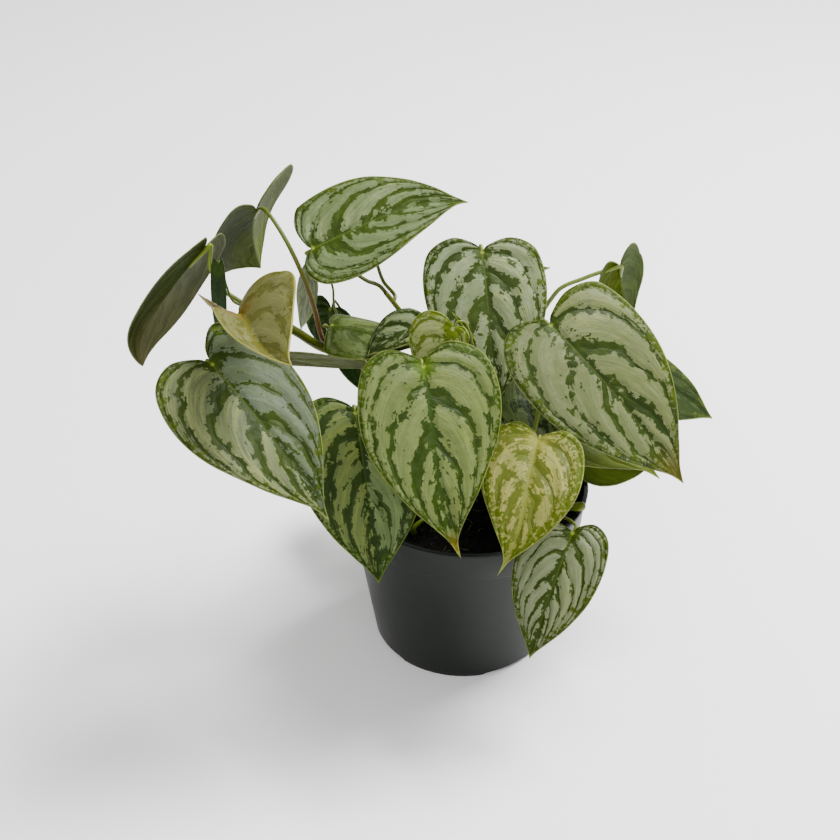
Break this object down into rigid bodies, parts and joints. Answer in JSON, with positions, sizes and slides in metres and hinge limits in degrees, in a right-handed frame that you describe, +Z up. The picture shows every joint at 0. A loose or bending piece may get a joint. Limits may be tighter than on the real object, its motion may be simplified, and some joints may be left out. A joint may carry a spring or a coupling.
{
  "type": "potted philodendron",
  "caption": "Potted philodendron houseplant: heart-shaped silver and green leaves on vines and stalks, rooted in soil in a round nursery pot",
  "frame": {"origin": "middle of the flat round pad under the pot, on the surface the pot stands on", "axes": "+Z up along the pot's axis, +X to the right of the plant's front, -Y the front"},
  "size_m": [0.2813, 0.2026, 0.2371],
  "materials": {
    "pot": "satin dark grey moulded plastic",
    "soil": "rough damp dark potting mix with small pale bits",
    "vine": "smooth olive green stem",
    "leaf_silver": "satin leaf, silver panels between dark green veins",
    "leaf_lime": "satin young leaf, yellow-green with pale panels",
    "leaf_yellow": "satin ageing leaf, yellow-bronze with a pale rim",
    "leaf_underside": "matte pale underside of a leaf",
    "leaf_dark": "satin dark green leaf",
    "husk": "dry papery leaf sheath"
  },
  "bodies": {
    "root": {"pot": "pot", "soil": "soil", "vine_left": "vine", "vine_middle": "vine", "leaf_front_left": "leaf_silver", "leaf_left": "leaf_silver", "leaf_top": "leaf_silver", "leaf_upright": "leaf_silver", "leaf_right": "leaf_silver", "leaf_low_right": "leaf_silver", "leaf_far_right": "leaf_silver", "leaf_under_right": "leaf_silver", "leaf_middle_left": "leaf_silver", "leaf_middle": "leaf_silver", "leaf_behind_top": "leaf_silver", "leaf_behind_upright": "leaf_silver", "leaf_back_left": "leaf_silver", "leaf_back_middle": "leaf_silver", "leaf_back_right": "leaf_silver", "leaf_front": "leaf_lime", "leaf_front_right": "leaf_lime", "leaf_young": "leaf_lime", "leaf_rolled": "leaf_lime", "shoot_soil": "leaf_lime", "shoot_right": "leaf_lime", "leaf_yellow": "leaf_yellow", "leaf_far_left": "leaf_underside", "leaf_top_left": "leaf_underside", "leaf_top_right": "leaf_underside", "leaf_edge_left": "leaf_underside", "leaf_pale_left": "leaf_underside", "leaf_shaded_left": "leaf_dark", "leaf_low_left": "leaf_dark", "leaf_hanging_left": "leaf_dark", "leaf_rim_right": "leaf_dark", "husk": "husk"}
  },
  "joints": []
}
